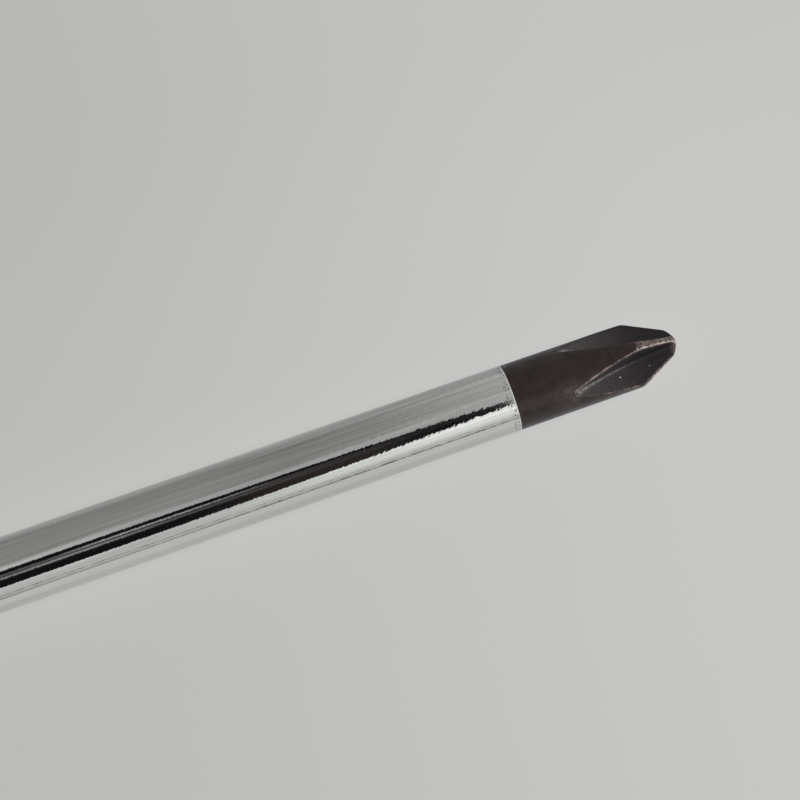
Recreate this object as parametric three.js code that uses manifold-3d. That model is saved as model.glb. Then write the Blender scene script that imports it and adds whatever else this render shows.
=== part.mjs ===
// A cross-head screwdriver, size 2: a round plated steel blade with a fluted cross tip, locked by the forged
// lugs of its tang in a moulded handle. The handle is a hard core with an anti-roll ring, two soft sleeves
// and an end cap. Millimetres, +Z up. The tool lies along X on a flat of its handle, with its tip towards +X.
import * as THREE from "three";
import { mergeVertices } from "three/addons/utils/BufferGeometryUtils.js";
import Module from "manifold-3d";

// Blade: a round bar from the tip to the end of the tang.
const BLADE_DIAMETER = 6;
const BLADE_FREE_LENGTH = 100;
const TANG_END_WALL = 8;
const TANG_CHAMFER = 0.8;

// Tip: the bar tapers to a blunt end, a flat cone with a small face in its middle.
const TAPER_HALF_ANGLE = 26;
const BLUNT_END_RADIUS = 1.19;
const END_CONE_LENGTH = 0.42;
const END_FACE_RADIUS = 0.35;

// Flutes: ground by the vee rim of a large wheel, so each runs out along the bar in a long arc.
const FLUTE_COUNT = 4;
const FLUTE_FIRST_ANGLE = 45;
const FLUTE_ROOT_RADIUS = 0.52;
const FLUTE_HALF_ANGLE = 52;
const WHEEL_RADIUS = 34.5;
const WHEEL_CREST_RADIUS = 0.4;
const WHEEL_BEYOND_TIP = 1.7;
const WHEEL_RIM_DEPTH = 4;

// Tang lugs: pairs of flat ears forged out of the bar, each pair turned a quarter from the last.
const LUG_PAIRS = 2;
const LUG_WIDTH = 9.2;
const LUG_THICKNESS = 2.4;
const LUG_LENGTH = 9.5;
const LUG_SPACING = 13;
const LUG_FROM_TANG_END = 8;

// Handle outline: radii that a smooth wave joins, from behind the ring to the end cap.
const SHOULDER_RADIUS = 12.4;
const WAIST_RADIUS = 9.8;
const CROWN_RADIUS = 16.8;
const REAR_RADIUS = 14.2;
const FLAT_DEPTH = 1.8;

// Handle lengths, from the blade's exit backwards.
const NOSE_LENGTH = 7;
const RING_LENGTH = 10;
const FLANGE_LENGTH = 2;
const FINGER_SLEEVE_LENGTH = 25;
const GRIP_SLEEVE_LENGTH = 43;
const CAP_LENGTH = 18;
const CROWN_FROM_GRIP_FRONT = 19;

// Core: the hard moulding that everything else sits on.
const NOSE_FRONT_RADIUS = 6.6;
const NOSE_RADIUS = 8.2;
const NOSE_EDGE_ROUND = 1.6;
const FINGER_SLEEVE_WALL = 2.2;
const GRIP_SLEEVE_WALL = 2.6;

// Anti-roll ring: a hexagon with coned faces, as high over its flats as the grip.
const RING_CORNER_HEIGHT = 1.7;
const RING_FRONT_RADIUS = 11.4;
const RING_FRONT_CONE = 3.4;
const RING_BACK_CONE = 1.8;

// Sleeve details.
const FINGER_GROOVES = 5;
const GROOVE_PITCH = 3.4;
const GROOVE_WIDTH = 1.5;
const GROOVE_DEPTH = 0.6;
const POCKET_LENGTH = 21;
const POCKET_WIDTH = 7;
const POCKET_DEPTH = 0.6;

// End cap: a dome with a cross hole to hang the tool by, a plug that snaps into the core, and a disc in its end.
const CAP_STRAIGHT = 2;
const CAP_END_RADIUS = 8.6;
const PLUG_RADIUS = 6.9;
const PLUG_LENGTH = 10.5;
const SNAP_HEIGHT = 0.5;
const SNAP_WIDTH = 2;
const SNAP_DEPTH = 6;
const HANG_HOLE_DIAMETER = 7;
const HANG_HOLE_FROM_END = 8.5;
const INLAY_RADIUS = 6.4;
const INLAY_THICKNESS = 1.6;
const MARK_ARM_LENGTH = 7;
const MARK_ARM_WIDTH = 1.7;
const MARK_DEPTH = 0.4;

// Clearance between neighbouring pieces, and how finely curves are cut.
const FIT_GAP = 0.3;
const ROUND_SEGMENTS = 48;
const WHEEL_SEGMENTS = 180;
const CREST_STEPS = 6;
const WAVE_STEPS = 9;
const DOME_STEPS = 6;
const OVERCUT = 2;
const MERGE_DISTANCE = 1e-4;

// Stations and radii that follow from the sizes above. Stations are distances behind the tip.
const bladeRadius = BLADE_DIAMETER / 2;
const taperLength = (bladeRadius - BLUNT_END_RADIUS) / Math.tan(THREE.MathUtils.degToRad(TAPER_HALF_ANGLE));
const handleFront = BLADE_FREE_LENGTH;
const ringFront = handleFront + NOSE_LENGTH;
const ringBack = ringFront + RING_LENGTH;
const fingerFront = ringBack + FLANGE_LENGTH;
const fingerBack = fingerFront + FINGER_SLEEVE_LENGTH;
const gripFront = fingerBack + FLANGE_LENGTH;
const gripBack = gripFront + GRIP_SLEEVE_LENGTH;
const capFront = gripBack + FLANGE_LENGTH;
const capBack = capFront + CAP_LENGTH;
const socketBottom = capFront - PLUG_LENGTH - FIT_GAP;
const tangEnd = socketBottom - TANG_END_WALL - FIT_GAP;
const waistStation = (fingerFront + fingerBack) / 2;
const crownStation = gripFront + CROWN_FROM_GRIP_FRONT;
const tipX = capBack / 2;
const halfFlats = CROWN_RADIUS - FLAT_DEPTH;
const ringCornerRadius = halfFlats + RING_CORNER_HEIGHT;
const hexCorner = 1 / Math.cos(Math.PI / 6);
const neckHalfFlats = (WAIST_RADIUS - FINGER_SLEEVE_WALL - FIT_GAP) / hexCorner;
const gripCoreHalfFlats = (handleRadius(gripFront) - GRIP_SLEEVE_WALL - FIT_GAP) / hexCorner;
const seatHalfFlats = NOSE_RADIUS;

const wasm = await Module();
wasm.setup();

// The handle's outer radius behind the ring: waves between shoulder, waist, crown and rear.
function handleRadius(behind) {
  const keys = [
    [ringBack, SHOULDER_RADIUS],
    [waistStation, WAIST_RADIUS],
    [crownStation, CROWN_RADIUS],
    [capFront, REAR_RADIUS],
  ];
  for (let i = 1; i < keys.length; i++) {
    const [start, startRadius] = keys[i - 1];
    const [end, endRadius] = keys[i];
    if (behind <= end) {
      const share = Math.max(0, (behind - start) / (end - start));
      return startRadius + ((endRadius - startRadius) * (1 - Math.cos(Math.PI * share))) / 2;
    }
  }
  return REAR_RADIUS;
}

// Points of the handle's outline between two stations, from the rear one forwards.
function wave(rear, front, steps = WAVE_STEPS) {
  return Array.from({ length: steps + 1 }, (_, i) => {
    const behind = rear + ((front - rear) * i) / steps;
    return [behind, handleRadius(behind)];
  });
}

// A quarter of an ellipse in an outline, from [behind, radius] to [behind, radius].
// It leaves its first point along the axis, or square to it when squareFirst is set.
function quarter([startBehind, startRadius], [endBehind, endRadius], squareFirst = false) {
  return Array.from({ length: DOME_STEPS + 1 }, (_, i) => {
    const turn = ((Math.PI / 2) * i) / DOME_STEPS;
    const along = squareFirst ? 1 - Math.cos(turn) : Math.sin(turn);
    const across = squareFirst ? Math.sin(turn) : 1 - Math.cos(turn);
    return [startBehind + (endBehind - startBehind) * along, startRadius + (endRadius - startRadius) * across];
  });
}

function solid(geometry) {
  geometry.deleteAttribute("normal");
  geometry.deleteAttribute("uv");
  const merged = mergeVertices(geometry, MERGE_DISTANCE);
  const triVerts = new Uint32Array(merged.index.array);
  return new wasm.Manifold(
    new wasm.Mesh({ numProp: 3, vertProperties: merged.attributes.position.array, triVerts }),
  );
}

// A solid turned about the tool's axis. Its outline runs from the rear forwards along the outside.
function turned(outline) {
  const points = outline.map(([behind, radius]) => new THREE.Vector2(radius, tipX - behind));
  return solid(new THREE.LatheGeometry(points, ROUND_SEGMENTS).rotateZ(-Math.PI / 2));
}

// A plain round bar between two stations.
function roundBar(radius, rear, front) {
  return turned([[rear, 0], [rear, radius], [front, radius], [front, 0]]);
}

// A hexagonal bar between two stations, with flats above and below.
function hexBar(flats, rear, front) {
  const shape = new THREE.Shape();
  for (let i = 0; i < 6; i++) {
    const angle = Math.PI / 6 + (i * Math.PI) / 3;
    const corner = [flats * hexCorner * Math.cos(angle), flats * hexCorner * Math.sin(angle)];
    if (i === 0) shape.moveTo(...corner);
    else shape.lineTo(...corner);
  }
  const geometry = new THREE.ExtrudeGeometry(shape, { depth: rear - front, bevelEnabled: false });
  return solid(geometry.rotateY(Math.PI / 2).translate(tipX - rear, 0, 0));
}

// The vee rim of the wheel that grinds one flute, in place at the tip.
function fluteCutter(turnDegrees) {
  const half = THREE.MathUtils.degToRad(FLUTE_HALF_ANGLE);
  const crest = [];
  for (let i = 0; i <= CREST_STEPS; i++) {
    const angle = (Math.PI / 2 - half) * ((2 * i) / CREST_STEPS - 1);
    const depth = WHEEL_CREST_RADIUS * (1 - Math.cos(angle));
    crest.push([WHEEL_RADIUS - depth, WHEEL_CREST_RADIUS * Math.sin(angle)]);
  }
  const flankDepth = WHEEL_RIM_DEPTH - WHEEL_CREST_RADIUS * (1 - Math.sin(half));
  const rimHalfWidth = WHEEL_CREST_RADIUS * Math.cos(half) + flankDepth * Math.tan(half);
  const inner = WHEEL_RADIUS - WHEEL_RIM_DEPTH;
  const outline = [[inner, -rimHalfWidth], ...crest, [inner, rimHalfWidth], [inner, -rimHalfWidth]];
  const points = outline.map(([radius, across]) => new THREE.Vector2(radius, across));
  const geometry = new THREE.LatheGeometry(points, WHEEL_SEGMENTS);
  geometry.translate(tipX + WHEEL_BEYOND_TIP, 0, FLUTE_ROOT_RADIUS + WHEEL_RADIUS);
  return solid(geometry.rotateX(THREE.MathUtils.degToRad(turnDegrees)));
}

// One pair of tang lugs, or the slot for it when it is grown by a clearance.
function tangLug(index, grow) {
  const middle = tipX - tangEnd + LUG_FROM_TANG_END + index * LUG_SPACING;
  const halfLength = LUG_LENGTH / 2 + grow;
  const halfWidth = LUG_WIDTH / 2 + grow;
  const slope = halfWidth - bladeRadius;
  const thickness = LUG_THICKNESS + 2 * grow;
  const shape = new THREE.Shape();
  shape.moveTo(-halfLength, -bladeRadius);
  shape.lineTo(slope - halfLength, -halfWidth);
  shape.lineTo(halfLength - slope, -halfWidth);
  shape.lineTo(halfLength, -bladeRadius);
  shape.lineTo(halfLength, bladeRadius);
  shape.lineTo(halfLength - slope, halfWidth);
  shape.lineTo(slope - halfLength, halfWidth);
  shape.lineTo(-halfLength, bladeRadius);
  const geometry = new THREE.ExtrudeGeometry(shape, { depth: thickness, bevelEnabled: false });
  geometry.translate(middle, 0, -thickness / 2).rotateX((index * Math.PI) / 2);
  return solid(geometry);
}

function makeBlade() {
  let bar = turned([
    [tangEnd, 0],
    [tangEnd, bladeRadius - TANG_CHAMFER],
    [tangEnd - TANG_CHAMFER, bladeRadius],
    [taperLength + END_CONE_LENGTH, bladeRadius],
    [END_CONE_LENGTH, BLUNT_END_RADIUS],
    [0, END_FACE_RADIUS],
    [0, 0],
  ]);
  for (let i = 0; i < LUG_PAIRS; i++) bar = bar.add(tangLug(i, 0));
  for (let i = 0; i < FLUTE_COUNT; i++) {
    bar = bar.subtract(fluteCutter(FLUTE_FIRST_ANGLE + (i * 360) / FLUTE_COUNT));
  }
  return bar;
}

function makeCore() {
  const nose = turned([
    [ringBack, 0],
    [ringBack, NOSE_RADIUS],
    [ringFront, NOSE_RADIUS],
    ...quarter(
      [handleFront + NOSE_EDGE_ROUND, NOSE_FRONT_RADIUS],
      [handleFront, NOSE_FRONT_RADIUS - NOSE_EDGE_ROUND],
    ),
    [handleFront, 0],
  ]);
  const flange = (front) => {
    const rim = wave(front + FLANGE_LENGTH, front, 2);
    return turned([[front + FLANGE_LENGTH, 0], ...rim, [front, 0]]);
  };
  let core = nose
    .add(hexBar(seatHalfFlats, ringBack + FLANGE_LENGTH / 2, ringFront))
    .add(flange(ringBack))
    .add(hexBar(neckHalfFlats, fingerBack + FLANGE_LENGTH / 2, fingerFront - FLANGE_LENGTH / 2))
    .add(flange(fingerBack))
    .add(hexBar(gripCoreHalfFlats, gripBack + FLANGE_LENGTH / 2, gripFront - FLANGE_LENGTH / 2))
    .add(flange(gripBack));
  core = core.subtract(roundBar(bladeRadius + FIT_GAP, tangEnd + FIT_GAP, handleFront - OVERCUT));
  for (let i = 0; i < LUG_PAIRS; i++) core = core.subtract(tangLug(i, FIT_GAP));
  return core.subtract(capPlug(FIT_GAP));
}

// The cap's plug with its snap bead, or the socket for it when it is grown by a clearance.
function capPlug(grow) {
  const rear = capFront + OVERCUT;
  const front = capFront - PLUG_LENGTH - grow;
  const radius = PLUG_RADIUS + grow;
  const bead = capFront - SNAP_DEPTH;
  const beadHalfWidth = SNAP_WIDTH / 2 + grow;
  return turned([
    [rear, 0],
    [rear, radius],
    [bead + beadHalfWidth, radius],
    [bead, radius + SNAP_HEIGHT],
    [bead - beadHalfWidth, radius],
    [front, radius],
    [front, 0],
  ]);
}

function makeRing() {
  const blank = turned([
    [ringBack - FIT_GAP, 0],
    [ringBack - FIT_GAP, SHOULDER_RADIUS],
    [ringBack - FIT_GAP - RING_BACK_CONE, ringCornerRadius],
    [ringFront + FIT_GAP + RING_FRONT_CONE, ringCornerRadius],
    [ringFront + FIT_GAP, RING_FRONT_RADIUS],
    [ringFront + FIT_GAP, 0],
  ]);
  return blank
    .intersect(hexBar(halfFlats, ringBack + OVERCUT, ringFront - OVERCUT))
    .subtract(hexBar(seatHalfFlats + FIT_GAP, ringBack + OVERCUT, ringFront - OVERCUT));
}

function makeFingerSleeve() {
  const rear = fingerBack - FIT_GAP;
  const front = fingerFront + FIT_GAP;
  const outline = [[rear, 0], [rear, handleRadius(rear)]];
  for (let i = FINGER_GROOVES - 1; i >= 0; i--) {
    const middle = waistStation + (i - (FINGER_GROOVES - 1) / 2) * GROOVE_PITCH;
    for (const step of [0.5, 0, -0.5]) {
      const behind = middle + step * GROOVE_WIDTH;
      outline.push([behind, handleRadius(behind) - (step === 0 ? GROOVE_DEPTH : 0)]);
    }
  }
  outline.push([front, handleRadius(front)], [front, 0]);
  return turned(outline).subtract(hexBar(neckHalfFlats + FIT_GAP, rear + OVERCUT, front - OVERCUT));
}

// A shallow pocket with round ends in one flat of the grip.
function gripPocket(turnDegrees) {
  const halfRun = (POCKET_LENGTH - POCKET_WIDTH) / 2;
  const endRadius = POCKET_WIDTH / 2;
  const shape = new THREE.Shape();
  shape.moveTo(-halfRun, -endRadius);
  shape.lineTo(halfRun, -endRadius);
  shape.absarc(halfRun, 0, endRadius, -Math.PI / 2, Math.PI / 2);
  shape.lineTo(-halfRun, endRadius);
  shape.absarc(-halfRun, 0, endRadius, Math.PI / 2, (3 * Math.PI) / 2);
  const depth = POCKET_DEPTH + OVERCUT;
  const geometry = new THREE.ExtrudeGeometry(shape, { depth, bevelEnabled: false, curveSegments: DOME_STEPS });
  geometry.translate(tipX - crownStation, 0, halfFlats - POCKET_DEPTH);
  return solid(geometry.rotateX(THREE.MathUtils.degToRad(turnDegrees)));
}

function makeGripSleeve() {
  const rear = gripBack - FIT_GAP;
  const front = gripFront + FIT_GAP;
  let sleeve = turned([[rear, 0], ...wave(rear, front), [front, 0]])
    .intersect(hexBar(halfFlats, rear + OVERCUT, front - OVERCUT))
    .subtract(hexBar(gripCoreHalfFlats + FIT_GAP, rear + OVERCUT, front - OVERCUT));
  for (let i = 0; i < 6; i++) sleeve = sleeve.subtract(gripPocket(i * 60));
  return sleeve;
}

function makeEndCap() {
  const front = capFront + FIT_GAP;
  const dome = turned([
    [capBack, 0],
    ...quarter([capBack, CAP_END_RADIUS], [capFront + CAP_STRAIGHT, REAR_RADIUS], true),
    [front, REAR_RADIUS],
    [front, 0],
  ]);
  const hangHole = new THREE.CylinderGeometry(
    HANG_HOLE_DIAMETER / 2,
    HANG_HOLE_DIAMETER / 2,
    2 * (REAR_RADIUS + OVERCUT),
    ROUND_SEGMENTS / 2,
  ).translate(tipX - capBack + HANG_HOLE_FROM_END, 0, 0);
  const inlayFront = capBack - INLAY_THICKNESS - FIT_GAP;
  return dome
    .add(capPlug(0))
    .subtract(solid(hangHole))
    .subtract(roundBar(INLAY_RADIUS + FIT_GAP, capBack + OVERCUT, inlayFront));
}

// A disc with a plain cross sunk into it, the sign for a cross-head tool.
function makeInlay() {
  const face = tipX - capBack;
  let disc = roundBar(INLAY_RADIUS, capBack, capBack - INLAY_THICKNESS);
  for (const [across, up] of [[MARK_ARM_LENGTH, MARK_ARM_WIDTH], [MARK_ARM_WIDTH, MARK_ARM_LENGTH]]) {
    const arm = new THREE.BoxGeometry(2 * MARK_DEPTH, across, up).translate(face, 0, 0);
    disc = disc.subtract(solid(arm));
  }
  return disc;
}

const PLATED_STEEL = { color: 0xc9ccca, roughness: 0.14, metalness: 1 };
const DARK_PLASTIC = { color: 0x3d4043, roughness: 0.42, metalness: 0 };
const GREY_PLASTIC = { color: 0x9a9c9b, roughness: 0.38, metalness: 0 };
const SOFT_GRIP = { color: 0x17181a, roughness: 0.78, metalness: 0 };

function piece(name, shape, look) {
  const made = shape.getMesh();
  const geometry = new THREE.BufferGeometry();
  geometry.setAttribute("position", new THREE.BufferAttribute(made.vertProperties, 3));
  geometry.setIndex(new THREE.BufferAttribute(made.triVerts, 1));
  geometry.computeVertexNormals();
  const mesh = new THREE.Mesh(geometry, new THREE.MeshStandardMaterial(look));
  mesh.name = name;
  return mesh;
}

const screwdriver = new THREE.Group();
screwdriver.position.z = halfFlats;
screwdriver.add(
  piece("blade", makeBlade(), PLATED_STEEL),
  piece("handle_core", makeCore(), DARK_PLASTIC),
  piece("anti_roll_ring", makeRing(), GREY_PLASTIC),
  piece("finger_sleeve", makeFingerSleeve(), SOFT_GRIP),
  piece("grip_sleeve", makeGripSleeve(), SOFT_GRIP),
  piece("end_cap", makeEndCap(), DARK_PLASTIC),
  piece("cap_inlay", makeInlay(), GREY_PLASTIC),
);

export default screwdriver;
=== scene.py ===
"""The looks of a cross-head screwdriver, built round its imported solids.

The frame is that of the solids, in metres: the tool lies along X with its tip towards +X, and +Z is up.
Sizes are millimetres, unless their heading says otherwise. A station is a distance behind the tip, and an
angle round the tool is measured from +Z towards +Y.
"""
import math

import bpy
import numpy as np
from mathutils import Matrix, Vector


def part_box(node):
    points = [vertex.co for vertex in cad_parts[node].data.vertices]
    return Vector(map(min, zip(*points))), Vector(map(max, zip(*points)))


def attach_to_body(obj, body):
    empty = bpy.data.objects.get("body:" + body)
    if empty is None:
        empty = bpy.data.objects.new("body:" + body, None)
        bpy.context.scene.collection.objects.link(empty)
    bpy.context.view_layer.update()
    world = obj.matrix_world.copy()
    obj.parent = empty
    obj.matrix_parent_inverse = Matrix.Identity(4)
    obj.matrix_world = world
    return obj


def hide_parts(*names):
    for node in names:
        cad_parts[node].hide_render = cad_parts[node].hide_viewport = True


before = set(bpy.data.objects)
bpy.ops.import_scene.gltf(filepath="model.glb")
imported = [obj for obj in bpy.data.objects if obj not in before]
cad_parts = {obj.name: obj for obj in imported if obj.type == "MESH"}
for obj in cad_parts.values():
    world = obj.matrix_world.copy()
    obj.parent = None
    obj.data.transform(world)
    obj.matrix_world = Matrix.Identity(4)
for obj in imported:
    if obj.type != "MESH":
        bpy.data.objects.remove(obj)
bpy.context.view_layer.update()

MM = 0.001
tip_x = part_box("blade")[1].x
axis_z = sum(corner.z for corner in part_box("blade")) / 2

# Blade: a plated bar with a blackened, fluted tip.
BLADE_RADIUS = 3.0
BLADE_FREE_LENGTH = 100
PLATING_LINE = 16.32
PLATING_STEP = 0.02
PLATING_EDGE = 0.05
PLATING_LEAN = math.radians(7)
PLATING_LEAN_TURN = math.radians(-13)
PLATING_LEAN_FADE = 5
TANG_END = 171.9
TANG_CHAMFER = 0.8
TAPER_HALF_ANGLE = 26
BLUNT_END_RADIUS = 1.19
END_CONE_LENGTH = 0.42
END_FACE_RADIUS = 0.35
END_CORNER_ROUND = 0.42
TAPER_CORNER_ROUND = 0.16
TAPER_LEAN = math.radians(4.2)
TAPER_LEAN_TURN = math.radians(-8)
TAPER_LEAN_FADE = (4, 9)

# Flutes: ground by the vee rim of a large wheel. They are counted round from the upper left one.
FLUTES = 4
FLUTE_FIRST_ANGLE = math.radians(45)
FLUTE_ROOT_RADIUS = 0.52
FLUTE_HALF_ANGLE = 52
WHEEL_RADIUS = 34.5
WHEEL_CREST_RADIUS = 0.4
WHEEL_BEYOND_TIP = 1.7
FLUTE_EDGE_ROUND = 0.09

# Worn edges: a pair of levels for the two sides of each flute. Wear fades on the way back from the taper to
# the flute's end. On the most worn edge it also spreads, and has a faint stretch at a share of that way.
EDGE_WEAR = ((0.4, 0.2), (0.5, 0.6), (0.7, 0.5), (0.55, 1.0))
EDGE_WEAR_WIDTH = 0.1
EDGE_WEAR_NARROWEST = 0.5
TAPER_EDGE_WIDER = 0.1
TAPER_EDGE_GAIN = 0.6
EDGE_WEAR_FADE = 0.35
EDGE_WEAR_SPREAD = 1.2
FAINT_STRETCH = 0.42
FAINT_PLACE = 0.34
FAINT_LENGTH = 0.24

# Worn faces: the wings' tapered faces and a little more, most towards the end and beside a worn edge, where
# the taper's corner has a nick. The wear of the blunt end has a level for each flute.
FACE_WEAR = 0.84
FACE_WEAR_OVERRUN = 0.3
FACE_WEAR_FADE = 0.6
FACE_WEAR_RUN = 3
FACE_WEAR_LEAST = 0.55
FACE_WEAR_WIDTH = 0.32
NICK_SETBACK = 0.135
NICK_LENGTH = 0.09
NICK_REACH = 0.3
END_WEAR = (0.0, 0.3, 0.3, 0.5)
END_WEAR_LENGTH = 0.9

# Other finishes of the tip: ground walls of the flutes, and scuffs behind each flute. A pale line along the
# roots of the flutes, widest where a flute runs out, is a painted highlight.
GROUND_DEPTH = 0.1
SCUFFS = (0.3, 0.6, 0.6, 1.0)
SCUFF_HALF_ANGLE = math.radians(22)
SCUFF_LEAD = 1
SCUFF_LENGTH = 2.4
SCUFF_FADE = 2
ROOT_HIGHLIGHT_WIDTH = 0.085
ROOT_HIGHLIGHT_END_WIDTH = 0.25
ROOT_HIGHLIGHT_END_LENGTH = 1.4
ROOT_HIGHLIGHT_LENGTH = 7.2
ROOT_HIGHLIGHT_FADE = 0.4

# Tang lugs: pairs of flat ears, each pair turned a quarter from the last.
LUG_PAIRS = 2
LUG_WIDTH = 9.2
LUG_THICKNESS = 2.4
LUG_LENGTH = 9.5
LUG_SPACING = 13
LUG_FROM_TANG_END = 8

# Handle: stations of its parts, and the radii that a smooth wave joins.
NOSE_FRONT = 100
RING_FRONT = 107
RING_BACK = 117
FINGER_FRONT = 119
WAIST = 131.5
FINGER_BACK = 144
GRIP_FRONT = 146
CROWN = 165
GRIP_BACK = 189
CAP_FRONT = 191
CAP_BACK = 209
SHOULDER_RADIUS = 12.4
WAIST_RADIUS = 9.8
CROWN_RADIUS = 16.8
REAR_RADIUS = 14.2
HALF_FLATS = 15
FIT_GAP = 0.3

# Core, ring and sleeves. A face margin sets the radius where the end face of a ring or sleeve starts.
BORE_RADIUS = 3.3
NOSE_FRONT_RADIUS = 6.13
NOSE_RADIUS = 8.2
NOSE_EDGE_ROUND = 1.6
FLANGE_ROUND = 0.35
RING_CORNER_RADIUS = 16.7
RING_FRONT_RADIUS = 11.4
RING_FRONT_CONE = 3.4
RING_BACK_CONE = 1.8
RING_EDGE_ROUND = 0.5
RING_FACE_MARGIN = 1.9
SLEEVE_EDGE_ROUND = 0.6
SLEEVE_FACE_MARGIN = 1
FLAT_ROUND = 0.9
FINGER_SLEEVE_WALL = 2.2
FINGER_GROOVES = 5
GROOVE_PITCH = 3.4
GROOVE_WIDTH = 1.5
GROOVE_DEPTH = 0.6
GRIP_SLEEVE_WALL = 2.6
POCKET_LENGTH = 21
POCKET_WIDTH = 7
POCKET_DEPTH = 0.6
POCKET_EDGE = 0.5
RIB_PITCH = 1.75
RIB_HEIGHT = 0.3

# End cap and the disc in its end.
CAP_STRAIGHT = 2
CAP_END_RADIUS = 8.6
PLUG_RADIUS = 6.9
PLUG_LENGTH = 10.5
SNAP_HEIGHT = 0.5
SNAP_WIDTH = 2
SNAP_DEPTH = 6
HANG_HOLE_RADIUS = 3.5
HANG_HOLE_FROM_END = 8.5
HANG_HOLE_ROUND = 0.6
INLAY_RADIUS = 6.4
INLAY_THICKNESS = 1.6
INLAY_EDGE_ROUND = 0.25
MARK_ARM_LENGTH = 7
MARK_ARM_WIDTH = 1.7
MARK_DEPTH = 0.4

# How finely surfaces are cut. Rows along the tip are (start, end, step), and its columns run from a flute's
# middle to its edge and on to the wing, crowded towards the edge. Edges over the sharp angle aren't shaded
# smooth.
TIP_ROWS = ((0, 4.4, 0.055), (4.4, 10.4, 0.12), (10.4, 11.6, 0.05), (11.6, PLATING_LINE, 0.35))
FLUTE_COLUMNS = 22
FLUTE_CROWDING = 1.6
WING_COLUMNS = 10
WING_CROWDING = 1.8
LEAST_FLUTE_ANGLE = math.radians(2.5)
FLUTE_ANGLE_MARGIN = 0.01
ROUND_COLUMNS = 180
HEX_COLUMNS = 360
CUTTER_COLUMNS = 96
CUTTER_ROWS = 40
ARC_STEPS = 6
DOME_STEPS = 64
SHANK_STEP = 1
TANG_STEP = 0.6
NOSE_STEP = 0.4
RING_STEP = 0.3
CAP_STEP = 0.25
SLEEVE_STEP = 0.2
OVERCUT = 2
SHARP_ANGLE = math.radians(40)
TINY = 1e-6

# Finish of the plating. Places along the bar count from the plating line towards the tip, and places round
# it from its top. Streaks are (length, width). A change is (from, to), with levels where they aren't 0 and
# 1, and a band (in from, in to, out from, out to). Reflected horizon lines are painted reflections: fine
# dark lines painted on the bar where it mirrors a dark horizon line, as (place round the bar, width, depth
# near the plating line, depth far from it). The rim is a painted highlight along the plating line. Rates
# are per millimetre.
LONG_LINES = (14, 0.24)
BROAD_LINES = (30, 1.1)
STROKES = (0.45, 0.12)
STROKE_SLANT = math.radians(30)
STROKE_TILT = 0.24
LINE_TILT = 0.02
ROUGH_END = (-20, -5, 0.28, 1.0)
ROUGH_TOP = (-2.4, -1.6, 0.3, 1.0)
STROKES_SHOW = (-35, -5, 0.07, 0.3)
REFLECTED_HORIZON_LINES = ((-2.61, 0.075, 0.75, 0.25), (-2.39, 0.055, 0.4, 0.7))
REFLECTED_LINES_FAR_TO_NEAR = (-34, -22)
WAVER = 0.08
WAVER_RATE = 0.15
PATCH_RATE = 0.8
DOT_RATE = 4.0
PIT_RATE = 4.5
PITTED = (-0.8, -0.45, -0.12, -0.06)
RIM_HIGHLIGHT_START = (-0.10, -0.04)

# Finish of the tip and the handle. Noises are in waves per metre, and most of each lies in the span.
NOISE_SPAN = (0.3, 0.7)
GRAIN = 11000
SPECKLE = 8000
COARSE = 3200
PATCHES = 1400
SPECKS = 830
SPECK_SIZE = (0.07, 0.04)
GRINDING = (3, 0.15)
SCRATCHES = (1.0, 0.08)
SCRATCH_SLANT = math.radians(26)
RUN_OUT = (14.0, 5.5)
TIP_BUMP = 0.004
PLASTIC_GRAIN = 1000 / 0.12
PLASTIC_PATCHES = 90
PLASTIC_BUMP = 0.02
RUBBER_CELLS = 1600
RUBBER_GRAIN = 4000
RUBBER_PATCHES = 140
RUBBER_BUMP = 0.03

# Colours, as linear light. Tones are (noise, colour) stops.
PLATING_TONES = ((0.36, (0.55, 0.568, 0.542)), (0.62, (0.81, 0.824, 0.794)))
# Painted highlight along the plating line.
PLATING_RIM_HIGHLIGHT = (0.9, 0.9, 0.89)
# Dark of the real pits, and of the painted reflection lines on the plated bar.
SOOT_AND_REFLECTED_DARK = 0.04
BLACK_TONES = ((0.39, (0.009, 0.0055, 0.0055)), (0.61, (0.021, 0.0140, 0.0130)))
BLACK_SCUFFED = (0.048, 0.033, 0.030)
BLACK_SHEEN = (1.0, 0.88, 0.86)
FLUTE_TONES = ((0.1, (0.008, 0.0070, 0.0076)), (0.9, (0.022, 0.0200, 0.0212)))
FLUTE_RUN_OUT = (0.080, 0.072, 0.072)
# Pale grey of the painted highlight along the flute roots.
ROOT_HIGHLIGHT_GREY = (0.48, 0.485, 0.475)
WORN_STEEL = (0.42, 0.335, 0.305)
# Pale colour of the painted glint on the worn edges of the tapered faces.
EDGE_GLINT_COLOUR = (0.88, 0.78, 0.71)
DUST = 0.6
CORE_TONES = ((0.3, (0.042, 0.045, 0.048)), (0.7, (0.052, 0.056, 0.060)))
RING_TONES = ((0.3, (0.30, 0.31, 0.31)), (0.7, (0.35, 0.36, 0.355)))
RUBBER_TONES = ((0.3, (0.0075, 0.008, 0.0085)), (0.75, (0.013, 0.0135, 0.0145)))
FLOOR_NEAR = (0.500, 0.506, 0.477)
FLOOR_FAR = (0.588, 0.588, 0.575)
# Painted light on the floor along the blade.
FLOOR_PAINTED_GLEAM = (0.615, 0.615, 0.607)
BACKDROP = (0.53, 0.53, 0.51)
HOOD_DARK = 0.008
HOOD_HAZE = (0.029, 0.024, 0.024)
HOOD_GLOW = (0.33, 0.304, 0.306)
HOOD_RIM = 0.45

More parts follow.
